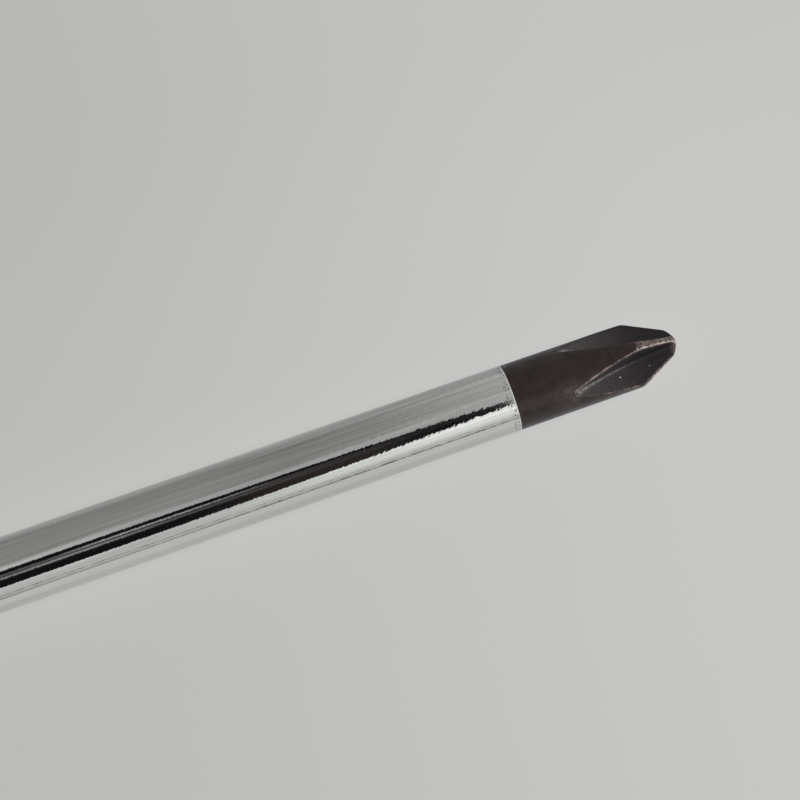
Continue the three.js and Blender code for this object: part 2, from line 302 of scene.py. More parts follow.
# Stage, in metres. Changes and bands of the floor are along X or Y. The GLEAM values are painted light: a
# pale stripe painted on the floor along the blade, standing for light that the blade throws onto it. Metal
# sees the floor at levels of its own. The lamp lies in the plane through the camera and the blade, so the
# blade hides its own shadow there.
FLOOR_HALF_SIZE = 3.0
FLOOR_GLOW = 0.75
FLOOR_TO_FAR = (0.03, 0.125)
FLOOR_DIMMED = (0.01, 0.05, 0.0, 0.05)
FLOOR_TO_BACKDROP = (0.3, 1.2)
GLEAM_PLACE = 0.0035
GLEAM_WIDTH = 0.0065
GLEAM_ALONG = (0.0, 0.035, 0.104, 0.12)
GLEAM_LEVEL = 0.5
MIRRORED_FLOOR = ((-0.04, 0.65), (-0.02, 0.54), (0, 0.53), (0.01, 0.46), (0.03, 0.35), (0.1, 0.27))
MIRRORED_BY_TIP = 0.39
BY_TIP_ALONG = (0.062, 0.09)
BY_TIP_ASIDE = (0.01, 0.04)
MIRRORED_FAR = 0.15
MIRRORED_FAR_ASIDE = (-0.6, -0.45)
FILL_LEVEL = 0.35
LAMP_PLACE = Vector((0.02, -0.135, 0.6))
LAMP_SIZE = 0.09
LAMP_POWER = 2.4

# Studio that metal reflects, by direction in degrees: ahead towards +X, and aside from straight up to +Y.
# Walls are (ahead, level) stops. The hood and the lines in it are (middle, reach).
WALLS = ((-8.8, 0.295), (-1.6, 0.295), (2.48, 0.26), (6.56, 0.30), (12.56, 0.46))
NEAR_WALL = (-8, -4.5, 0.62, 0.47)
WALLS_ASIDE = (4, 16)
PANEL_FOOT = (-10, 10, 0.54, 0.62)
PANEL_HEAD = (-4, 10, 0.66, 1.08)
PANEL_ASIDE = (-85, -48)
ROOM_ASIDE = (-24, -18)
HOOD_AHEAD = (-10, 24.95)
HOOD_ASIDE = (-27.5, 25.5)
HOOD_EDGE = (0.92, 1.02)
HOOD_FRONT = (13.25, 13.95)
HAZE_AHEAD = (-3, 2, 6, 10)
HAZE_ASIDE = (-16, -21)
GLOW_AHEAD = (9, -10, 0.12, 1.0)
GLOW_ASIDE = (-30.6, -28, -15.8, -12.8)
GLOW_FOOT = (-3, -8, 0.4, 1.0)
GLOW_FOOT_ASIDE = (-34, -16)
GLOW_LEVEL = 0.45
GAP = (-20, 2.2)
GAP_DEPTH = 0.65
GLINT = (-25.4, 2)
GLINT_AHEAD = (0, -10, 0.05, 0.75)
RIM = (-15.8, 1.8)
RIM_AHEAD = (-9.5, -6.5, -4, 2.5)

# Camera, in metres: close above the tip, leaning back and rolled, so that the blade rises to the right.
CAMERA_PLACE = Vector((0.063902, -0.023186, 0.115429))
CAMERA_AIM = Vector((0.079324, 0.003076, 0.015))
CAMERA_ROLL = math.radians(-21.111)
CAMERA_LENS = 54
CAMERA_SENSOR = 36
CAMERA_NEAR = 0.005


# Outlines and sections


def soft_min(first, second, width):
    """The smaller of two values, rounded off where they differ by less than width."""
    overlap = np.maximum(width - np.abs(first - second), 0) / width
    return np.minimum(first, second) - overlap**2 * width / 4


def soft_step(value):
    """0 below 0, 1 above 1, and a smooth rise between them."""
    share = np.clip(value, 0, 1)
    return share * share * (3 - 2 * share)


def bell(value, width):
    """1 at 0, and next to nothing from about twice the width on."""
    return np.exp(-((value / width) ** 2))


def unit(vector):
    return vector / np.linalg.norm(vector)


def rounded(*corners):
    """An outline through (station, radius, rounding) corners, with each rounding as an arc."""
    points = []
    for i, (station, radius, rounding) in enumerate(corners):
        corner = np.array((station, radius), float)
        if rounding == 0:
            points.append(corner)
            continue
        back = unit(np.array(corners[i - 1][:2]) - corner)
        ahead = unit(np.array(corners[i + 1][:2]) - corner)
        half_angle = math.acos(np.clip(back.dot(ahead), -1, 1)) / 2
        centre = corner + unit(back + ahead) * rounding / math.sin(half_angle)
        start = corner + back * rounding / math.tan(half_angle) - centre
        end = corner + ahead * rounding / math.tan(half_angle) - centre
        for share in np.linspace(0, 1, ARC_STEPS + 1):
            points.append(centre + rounding * unit(start * (1 - share) + end * share))
    return np.array(points)


def spaced(points, step):
    """The same outline with its long stretches cut into steps."""
    made = [points[:1]]
    for start, end in zip(points[:-1], points[1:]):
        count = max(1, math.ceil(np.linalg.norm(end - start) / step))
        made.append(start + (end - start) * np.linspace(0, 1, count + 1)[1:, None])
    return np.concatenate(made)


def angles_round(columns):
    return np.arange(columns) * 2 * math.pi / columns


def from_flat(angles):
    """The angle from the middle of the nearest flat of a hexagon with flats above and below."""
    return (angles + math.pi / 6) % (math.pi / 3) - math.pi / 6


def hexagon(angles):
    """How far that hexagon reaches at each angle, for half flats of 1."""
    return 1 / np.cos(from_flat(angles))


def flats_inside(radius):
    """Half flats of the hexagon whose corners lie at a radius."""
    return radius * math.cos(math.pi / 6)


def rows(points, section):
    """Rows of (station, radius over the section) for the points of an outline."""
    return points[:, 0], points[:, 1:] * section[None, :]


def joined(*parts):
    return np.concatenate([part[0] for part in parts]), np.concatenate([part[1] for part in parts])


def handle_radius(stations):
    """The handle's outer radius behind the ring."""
    keys = (
        (RING_BACK, SHOULDER_RADIUS),
        (WAIST, WAIST_RADIUS),
        (CROWN, CROWN_RADIUS),
        (CAP_FRONT, REAR_RADIUS),
    )
    radius = np.full(np.shape(stations), float(SHOULDER_RADIUS))
    for (start, start_radius), (end, end_radius) in zip(keys[:-1], keys[1:]):
        share = np.clip((np.asarray(stations) - start) / (end - start), 0, 1)
        radius = radius + (end_radius - start_radius) * (1 - np.cos(np.pi * share)) / 2
    return radius


# Meshes


def tool_points(stations, radii, angles):
    """Places in the frame for radii at stations along the tool and angles round it."""
    x = np.broadcast_to(tip_x - np.reshape(stations, (-1, 1)) * MM, radii.shape)
    y = radii * np.sin(angles) * MM
    z = axis_z + radii * np.cos(angles) * MM
    return np.stack((x, y, z), axis=-1)


def lean(points, share, turn, angle, pivot=0.0):
    """Leans rows back on the side at a turn round the tool, each by its share of the angle. The pivot is
    the height on that side which keeps its place."""
    height = points[..., 1] * math.sin(turn) + (points[..., 2] - axis_z) * math.cos(turn)
    points[..., 0] += share[:, None] * (pivot * MM - height) * math.tan(angle)


def lean_plating(points, stations):
    """The plating line isn't quite square to the bar."""
    share = soft_step(1 - np.abs(stations - PLATING_LINE) / PLATING_LEAN_FADE)
    lean(points, share, PLATING_LEAN_TURN, PLATING_LEAN, BLADE_RADIUS)


def lean_taper(points, stations):
    """The taper was ground slightly out of true, and the end after it."""
    start, end = TAPER_LEAN_FADE
    share = soft_step(stations / END_CONE_LENGTH) * soft_step((end - stations) / (end - start))
    lean(points, share, TAPER_LEAN_TURN, TAPER_LEAN)


def linked(name, data):
    """A new object in the scene."""
    made = bpy.data.objects.new(name, data)
    bpy.context.scene.collection.objects.link(made)
    return made


def skin(name, points, loop=False):
    """A closed mesh over rows of points round the tool. A loop runs back to its first row inside the
    piece, and otherwise the two end rows are closed with flat fans."""
    count, columns = points.shape[:2]
    vertices = points.reshape(-1, 3)
    index = np.arange(count * columns).reshape(count, columns)
    if loop:
        index = np.concatenate((index, index[:1]))
    aside = np.roll(index, -1, axis=1)
    quads = np.stack((index[:-1], aside[:-1], aside[1:], index[1:]), axis=-1).reshape(-1, 4).tolist()
    fans = []
    if not loop:
        poles = (points[0].mean(axis=0), points[-1].mean(axis=0))
        vertices = np.concatenate((vertices, poles))
        front, rear = len(vertices) - 2, len(vertices) - 1
        fans += [(front, b, a) for a, b in zip(index[0].tolist(), aside[0].tolist())]
        fans += [(rear, a, b) for a, b in zip(index[-1].tolist(), aside[-1].tolist())]
    mesh = bpy.data.meshes.new(name)
    mesh.from_pydata(vertices.tolist(), [], quads + fans)
    mesh.shade_smooth()
    mesh.set_sharp_from_angle(angle=SHARP_ANGLE)
    return linked(name, mesh)


def cut(piece, cutter):
    """Takes the cutter's shape out of a piece, and removes the cutter."""
    modifier = piece.modifiers.new("cut", "BOOLEAN")
    modifier.operation = "DIFFERENCE"
    modifier.object = cutter
    evaluated = piece.evaluated_get(bpy.context.evaluated_depsgraph_get())
    made = bpy.data.meshes.new_from_object(evaluated)
    piece.modifiers.clear()
    piece.data = made
    bpy.data.objects.remove(cutter)
    made.set_sharp_from_angle(angle=SHARP_ANGLE)


def attach(piece, node, material):
    """Puts a finished piece in the place of a CAD node."""
    piece.data.materials.clear()
    piece.data.materials.append(material)
    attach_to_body(piece, "root")
    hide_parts(node)


# Blade


def taper_length():
    return (BLADE_RADIUS - BLUNT_END_RADIUS) / math.tan(math.radians(TAPER_HALF_ANGLE))


def blank_radius(stations):
    """The bar before its flutes: end cone, taper and round bar."""
    cone = END_FACE_RADIUS + stations * (BLUNT_END_RADIUS - END_FACE_RADIUS) / END_CONE_LENGTH
    slope = math.tan(math.radians(TAPER_HALF_ANGLE))
    taper = BLUNT_END_RADIUS + (stations - END_CONE_LENGTH) * slope
    bar = np.full(np.shape(stations), BLADE_RADIUS - PLATING_STEP)
    return soft_min(soft_min(cone, taper, END_CORNER_ROUND), bar, TAPER_CORNER_ROUND)


def wheel_depth(across):
    """How far the wheel's rim lies below its crest, at a distance from the wheel's middle plane."""
    half = math.radians(FLUTE_HALF_ANGLE)
    on_crest = WHEEL_CREST_RADIUS - np.sqrt(np.maximum(WHEEL_CREST_RADIUS**2 - across**2, 0))
    flank_start = WHEEL_CREST_RADIUS * math.cos(half)
    on_flank = WHEEL_CREST_RADIUS * (1 - math.sin(half)) + (across - flank_start) / math.tan(half)
    return np.where(across < flank_start, on_crest, on_flank)


def halved(too_low, low, high, halvings=40):
    """Where a rising test turns from too low to high enough, between two arrays of limits."""
    for _ in range(halvings):
        middle = (low + high) / 2
        below = too_low(middle)
        low = np.where(below, middle, low)
        high = np.where(below, high, middle)
    return (low + high) / 2


def flute_radius(stations, aside):
    """How far out the steel is left in a flute, at an angle aside from the flute's middle."""
    stations, aside = np.broadcast_arrays(stations, aside)

    def in_steel(radius):
        across = radius * np.abs(np.sin(aside))
        out = FLUTE_ROOT_RADIUS + WHEEL_RADIUS - radius * np.cos(aside)
        return np.hypot(stations + WHEEL_BEYOND_TIP, out) > WHEEL_RADIUS - wheel_depth(across)

    return halved(in_steel, np.zeros(stations.shape), np.full(stations.shape, 2 * BLADE_RADIUS))


class TipGrid:
    """Rows along the tip, and columns from a flute's middle over its edge to the next wing's middle."""

    def __init__(self):
        stretches = [np.arange(start, end, step) for start, end, step in TIP_ROWS]
        self.stations = np.concatenate(stretches + [[PLATING_LINE]])
        self.along = self.stations[:, None]
        self.blank = blank_radius(self.along)
        wing = math.pi / FLUTES
        edge = halved(
            lambda aside: flute_radius(self.along, aside) < self.blank,
            np.full_like(self.along, LEAST_FLUTE_ANGLE),
            np.full_like(self.along, wing),
        )
        in_flute = 1 - (1 - np.arange(FLUTE_COLUMNS) / FLUTE_COLUMNS) ** FLUTE_CROWDING
        past_edge = (np.arange(WING_COLUMNS + 1) / WING_COLUMNS) ** WING_CROWDING
        self.aside = np.concatenate((edge * in_flute, edge + (wing - edge) * past_edge), axis=1)
        self.columns = self.aside.shape[1]
        self.flute = flute_radius(self.along, self.aside)
        self.on_wing = self.flute > self.blank
        self.from_edge = np.abs(self.aside - edge) * self.blank
        self.fluted = edge > LEAST_FLUTE_ANGLE * (1 + FLUTE_ANGLE_MARGIN)
        self.flute_end = self.stations[self.fluted[:, 0]][-1]

    def all_round(self, half, sign=1):
        """Values of the grid, mirrored with a sign over a flute's middle and repeated for each flute."""
        mirrored = np.concatenate((sign * half[:, ::-1], half[:, 1:-1]), axis=1)
        return np.tile(mirrored, (1, FLUTES))

    def by_flute(self, values):
        return np.repeat(values, 2 * self.columns - 2)

    def by_edge(self, pairs):
        return np.concatenate([np.repeat(pair, (self.columns, self.columns - 2)) for pair in pairs])

    def points(self):
        radii = self.all_round(soft_min(self.blank, self.flute, FLUTE_EDGE_ROUND))
        middles = self.by_flute(FLUTE_FIRST_ANGLE + angles_round(FLUTES))
        return tool_points(self.stations, radii, middles + self.all_round(self.aside, -1))


def worn_edges(grid, on_taper):
    way_back = np.clip((grid.along - taper_length()) / (grid.flute_end - taper_length()), 0, 1)
    level = grid.by_edge(EDGE_WEAR)
    most_worn = level**4
    width = EDGE_WEAR_WIDTH * (1 + TAPER_EDGE_WIDER * on_taper)
    width = width * np.maximum(level, EDGE_WEAR_NARROWEST) * (1 + EDGE_WEAR_SPREAD * way_back * most_worn)
    faint = FAINT_STRETCH * bell(way_back - FAINT_PLACE, FAINT_LENGTH) * most_worn
    share = grid.fluted * (1 - EDGE_WEAR_FADE * way_back) * (1 - faint)
    on_edge = level * (1 + (1 - level) * TAPER_EDGE_GAIN * on_taper)
    return share * on_edge * bell(grid.all_round(grid.from_edge), width)


def nicks(grid, face_end):
    along_nick = bell(grid.along - face_end + NICK_SETBACK, NICK_LENGTH)
    nick = along_nick * grid.on_wing * bell(grid.from_edge, NICK_REACH)
    return grid.all_round(nick) * grid.by_edge(EDGE_WEAR) ** 2


def worn_faces(grid, on_taper):
    towards_end = 1 - grid.along / (FACE_WEAR_RUN * taper_length())
    face = FACE_WEAR * on_taper * towards_end * grid.on_wing
    beside_edge = grid.all_round(bell(grid.from_edge, FACE_WEAR_WIDTH)) * grid.by_edge(EDGE_WEAR)
    return grid.all_round(face) * (FACE_WEAR_LEAST + beside_edge)


def worn_end(grid):
    end = soft_step(1 - grid.along / END_WEAR_LENGTH) * ~grid.on_wing
    return grid.all_round(end) * grid.by_flute(END_WEAR)


def ground_walls(grid):
    depth = np.where(grid.fluted, grid.blank - grid.flute, 0)
    return grid.all_round(soft_step(depth / GROUND_DEPTH))


def scuffs(grid):
    behind = grid.along - grid.flute_end
    lengthwise = soft_step(behind / SCUFF_LEAD + 1) * soft_step((SCUFF_LENGTH - behind) / SCUFF_FADE)
    return grid.all_round(bell(grid.aside, SCUFF_HALF_ANGLE) * lengthwise) * grid.by_flute(SCUFFS)


# A painted highlight along each flute's root, widest where the flute runs out.
def painted_root_highlights(grid):
    inside = grid.flute_end - grid.along
    width = ROOT_HIGHLIGHT_WIDTH + (ROOT_HIGHLIGHT_END_WIDTH - ROOT_HIGHLIGHT_WIDTH) * np.exp(-inside / ROOT_HIGHLIGHT_END_LENGTH)
    lengthwise = np.clip(1 - inside / ROOT_HIGHLIGHT_LENGTH, 0, 1) * soft_step(inside / ROOT_HIGHLIGHT_FADE)
    return grid.all_round(bell(grid.aside * grid.flute, width) * grid.fluted * lengthwise)


def tip_layers(grid):
    """The layers that the tip's material reads, each from 0 to about 1; one of them is a painted root
    highlight.
    """
    face_end = END_CONE_LENGTH + taper_length() + FACE_WEAR_OVERRUN
    on_taper = soft_step((face_end - grid.along) / FACE_WEAR_FADE)
    nicked = nicks(grid, face_end)
    return {
        "edges": np.maximum(worn_edges(grid, on_taper), nicked),
        "faces": worn_faces(grid, on_taper) + nicked + worn_end(grid),
        "ground": ground_walls(grid),
        "scuffed": scuffs(grid),
        "root_highlight": painted_root_highlights(grid),
    }


def make_tip():
    """The blackened tip, with its wear and a painted root highlight as layers for the material."""
    grid = TipGrid()
    points = grid.points()
    lean_taper(points, grid.stations)
    lean_plating(points, grid.stations)
    tip = skin("tip", points)
    at_poles = (0, 0)
    for name, values in tip_layers(grid).items():
        layer = tip.data.attributes.new(name, "FLOAT", "POINT")
        layer.data.foreach_set("value", np.append(values.ravel(), at_poles).astype(np.float32))
    return tip


def make_shank():
    """The plated bar, from the plating line back to the end of the tang with its forged lugs."""
    outline = rounded(
        (PLATING_LINE, BLADE_RADIUS - PLATING_EDGE, 0),
        (PLATING_LINE + PLATING_EDGE, BLADE_RADIUS, 0),
        (BLADE_FREE_LENGTH, BLADE_RADIUS, 0),
        (TANG_END - TANG_CHAMFER, BLADE_RADIUS, 0),
        (TANG_END, BLADE_RADIUS - TANG_CHAMFER, 0),
    )
    outline = np.concatenate((spaced(outline[:3], SHANK_STEP), spaced(outline[2:], TANG_STEP)[1:]))
    angles = angles_round(ROUND_COLUMNS)
    stations, radii = rows(outline, np.ones(ROUND_COLUMNS))
    for i in range(LUG_PAIRS):
        middle = TANG_END - LUG_FROM_TANG_END - i * LUG_SPACING
        reach = (LUG_LENGTH / 2 - np.abs(stations - middle) + BLADE_RADIUS)[:, None]
        flat = LUG_THICKNESS / 2 / np.maximum(np.abs(np.sin(angles + math.pi / 2 * (i + 1))), TINY)
        radii = np.maximum(radii, np.minimum(np.minimum(reach, LUG_WIDTH / 2), flat))
    points = tool_points(stations, radii, angles)
    lean_plating(points, stations)
    return skin("shank", points)


# Handle


def grip_seat():
    """Half flats of the core's seat for the grip sleeve."""
    return flats_inside(float(handle_radius(GRIP_FRONT)) - GRIP_SLEEVE_WALL - FIT_GAP)


def make_core():
    """The hard moulding: nose, seats, three flanges, and the socket for the cap."""
    angles = angles_round(ROUND_COLUMNS)
    whole = np.ones(ROUND_COLUMNS)
    six = hexagon(angles)
    neck = flats_inside(WAIST_RADIUS - FINGER_SLEEVE_WALL - FIT_GAP)
    socket = CAP_FRONT - PLUG_LENGTH - FIT_GAP
    nose = rounded(
        (NOSE_FRONT, BORE_RADIUS, 0),
        (NOSE_FRONT, NOSE_FRONT_RADIUS, NOSE_EDGE_ROUND),
        (RING_FRONT, NOSE_RADIUS, 0),
    )

    def flange(front, back):
        return rounded(
            (front, neck, 0),
            (front, float(handle_radius(front)), FLANGE_ROUND),
            (back, float(handle_radius(back)), FLANGE_ROUND),
            (back, neck, 0),
        )

    def seat(front, back, half_flats):
        return rounded((front, half_flats, 0), (back, half_flats, 0))

    inside = rounded(
        (CAP_FRONT, PLUG_RADIUS + FIT_GAP, 0),
        (socket, PLUG_RADIUS + FIT_GAP, 0),
        (socket, BORE_RADIUS, 0),
    )
    stations, radii = joined(
        rows(spaced(nose, NOSE_STEP), whole),
        rows(seat(RING_FRONT, RING_BACK, NOSE_RADIUS), six),
        rows(flange(RING_BACK, FINGER_FRONT), whole),
        rows(seat(FINGER_FRONT, FINGER_BACK, neck), six),
        rows(flange(FINGER_BACK, GRIP_FRONT), whole),
        rows(seat(GRIP_FRONT, GRIP_BACK, grip_seat()), six),
        rows(flange(GRIP_BACK, CAP_FRONT)[:-1], whole),
        rows(inside, whole),
    )
    return skin("core", tool_points(stations, radii, angles), loop=True)


def sleeved(name, outline, bore, columns, flats=None):
    """A tube with a hexagonal bore. Its outside follows an outline, and flats cut it off."""
    angles = angles_round(columns)
    stations, radii = rows(outline, np.ones(columns))
    if flats is not None:
        radii = soft_min(radii, flats(stations[:, None], angles[None, :]), FLAT_ROUND)
    inside = rows(rounded((outline[-1, 0], bore, 0), (outline[0, 0], bore, 0)), hexagon(angles))
    stations, radii = joined((stations, radii), inside)
    return skin(name, tool_points(stations, radii, angles), loop=True)


def make_ring():
    """A hexagonal ring, coned in front and behind."""
    front = RING_FRONT + FIT_GAP
    back = RING_BACK - FIT_GAP
    low = NOSE_RADIUS + RING_FACE_MARGIN
    outline = rounded(
        (front, low, 0),
        (front, RING_FRONT_RADIUS, RING_EDGE_ROUND),
        (front + RING_FRONT_CONE, RING_CORNER_RADIUS, RING_EDGE_ROUND),
        (back - RING_BACK_CONE, RING_CORNER_RADIUS, RING_EDGE_ROUND),
        (back, SHOULDER_RADIUS, RING_EDGE_ROUND),
        (back, low, 0),
    )

    def flats(stations, angles):
        return HALF_FLATS * hexagon(angles)

    return sleeved("ring", spaced(outline, RING_STEP), NOSE_RADIUS + FIT_GAP, HEX_COLUMNS, flats)


def sleeve_outline(front, back, low, radius_at):
    """The outside of a sleeve with rounded ends, a gap clear of the flanges before and behind it."""
    front = front + FIT_GAP
    back = back - FIT_GAP
    inner = np.arange(front + SLEEVE_EDGE_ROUND, back - SLEEVE_EDGE_ROUND, SLEEVE_STEP)
    outline = rounded(
        (front, low, 0),
        (front, float(radius_at(front)), SLEEVE_EDGE_ROUND),
        (back, float(radius_at(back)), SLEEVE_EDGE_ROUND),
        (back, low, 0),
    )
    half = len(outline) // 2
    middle = np.stack((inner, radius_at(inner)), axis=-1)[1:]
    return np.concatenate((outline[:half], middle, outline[half:]))


def make_finger_sleeve():
    """A soft sleeve on the waist, with a row of grooves round it."""
    first = WAIST - GROOVE_PITCH * (FINGER_GROOVES - 1) / 2

    def radius_at(stations):
        radius = handle_radius(stations)
        for i in range(FINGER_GROOVES):
            off = np.clip(np.abs(stations - first - i * GROOVE_PITCH) / GROOVE_WIDTH, 0, 0.5)
            radius = radius - GROOVE_DEPTH * (1 + np.cos(2 * np.pi * off)) / 2
        return radius

    low = WAIST_RADIUS - SLEEVE_FACE_MARGIN
    outline = sleeve_outline(FINGER_FRONT, FINGER_BACK, low, radius_at)
    bore = flats_inside(WAIST_RADIUS - FINGER_SLEEVE_WALL)
    return sleeved("finger_grip", outline, bore, ROUND_COLUMNS)


def pocket_depth(along, across):
    """Depth of the ribbed pocket in a flat, at distances from the pocket's middle."""
    half_run = (POCKET_LENGTH - POCKET_WIDTH) / 2
    from_edge = POCKET_WIDTH / 2 - np.hypot(np.maximum(np.abs(along) - half_run, 0), across)
    rib = (1 + np.cos(2 * np.pi * along / RIB_PITCH)) / 2
    ribbed = soft_step(from_edge / POCKET_EDGE - 1)
    return POCKET_DEPTH * soft_step(from_edge / POCKET_EDGE) - RIB_HEIGHT * ribbed * rib


def make_grip_sleeve():
    """A soft sleeve round the crown, with six flats and a ribbed pocket in each."""

    def flats(stations, angles):
        aside = from_flat(angles)
        depth = pocket_depth(stations - CROWN, HALF_FLATS * np.tan(aside))
        return (HALF_FLATS - depth) / np.cos(aside)

    bore = grip_seat() + FIT_GAP
    low = bore / math.cos(math.pi / 6) + SLEEVE_FACE_MARGIN
    outline = sleeve_outline(GRIP_FRONT, GRIP_BACK, low, handle_radius)
    return sleeved("power_grip", outline, bore, HEX_COLUMNS, flats)


def make_cap():
    """The dome with its plug, the recess for the disc, and a hang hole with rounded rims."""
    front = CAP_FRONT + FIT_GAP
    bead = CAP_FRONT - SNAP_DEPTH
    recess = INLAY_RADIUS + FIT_GAP
    floor = CAP_BACK - INLAY_THICKNESS - FIT_GAP
    dome_front = CAP_FRONT + CAP_STRAIGHT
    plug = rounded(
        (CAP_FRONT - PLUG_LENGTH, PLUG_RADIUS, 0),
        (bead - SNAP_WIDTH / 2, PLUG_RADIUS, 0),
        (bead, PLUG_RADIUS + SNAP_HEIGHT, 0),
        (bead + SNAP_WIDTH / 2, PLUG_RADIUS, 0),
        (front, PLUG_RADIUS, 0),
        (front, REAR_RADIUS, FLANGE_ROUND),
        (dome_front, REAR_RADIUS, 0),
    )
    turn = np.linspace(0, math.pi / 2, DOME_STEPS)[1:-1]
    dome_stations = dome_front + (CAP_BACK - dome_front) * np.sin(turn)
    dome_radii = CAP_END_RADIUS + (REAR_RADIUS - CAP_END_RADIUS) * np.cos(turn)
    end = rounded(
        (CAP_BACK, CAP_END_RADIUS, 0),
        (CAP_BACK, recess, FLANGE_ROUND),
        (floor, recess, 0),
        (floor, recess / 2, 0),
    )
    dome = np.stack((dome_stations, dome_radii), axis=-1)
    outline = spaced(np.concatenate((plug, dome, end)), CAP_STEP)
    stations, radii = rows(outline, np.ones(HEX_COLUMNS))
    points = tool_points(stations, radii, angles_round(HEX_COLUMNS))
    hole_x = tip_x - (CAP_BACK - HANG_HOLE_FROM_END) * MM
    from_hole = np.hypot(points[..., 0] - hole_x, points[..., 2] - axis_z) / MM
    near = np.clip((HANG_HOLE_RADIUS + HANG_HOLE_ROUND - from_hole) / HANG_HOLE_ROUND, 0, 1)
    drop = HANG_HOLE_ROUND * (1 - np.sqrt(1 - near**2))
    points[..., 1] -= np.sign(points[..., 1]) * drop * MM
    cap = skin("cap", points)
    cut(cap, hole_cutter(hole_x))
    return cap


def hole_cutter(hole_x):
    """A round bar across the tool."""
    turns = angles_round(CUTTER_COLUMNS)
    reach = (REAR_RADIUS + OVERCUT) * MM
    x = hole_x + HANG_HOLE_RADIUS * MM * np.sin(turns)
    y = np.linspace(-reach, reach, CUTTER_ROWS)[:, None]
    z = axis_z + HANG_HOLE_RADIUS * MM * np.cos(turns)
    return skin("hang_hole_cutter", np.stack(np.broadcast_arrays(x, y, z), axis=-1))


def make_inlay():
    """The disc in the cap's end, with a plain cross sunk into it."""
    outline = rounded(
        (CAP_BACK - INLAY_THICKNESS, INLAY_RADIUS, 0),
        (CAP_BACK, INLAY_RADIUS, INLAY_EDGE_ROUND),
        (CAP_BACK, INLAY_RADIUS / 2, 0),
    )
    stations, radii = rows(outline, np.ones(ROUND_COLUMNS))
    inlay = skin("inlay", tool_points(stations, radii, angles_round(ROUND_COLUMNS)))
    cut(inlay, cross_cutter())
    return inlay


def cross_cutter():
    """A prism with the section of a plain cross."""
    long, short = MARK_ARM_LENGTH / 2, MARK_ARM_WIDTH / 2
    corners = []
    for quarter in range(4):
        for y, z in ((-short, long), (short, long), (short, short)):
            for _ in range(quarter):
                y, z = z, -y
            corners.append((y, z))
    y, z = np.array(corners).T
    stations = np.array((CAP_BACK - MARK_DEPTH, CAP_BACK + OVERCUT))
    radii = np.tile(np.hypot(y, z), (2, 1))
    return skin("cross_cutter", tool_points(stations, radii, np.arctan2(y, z)))


# Materials


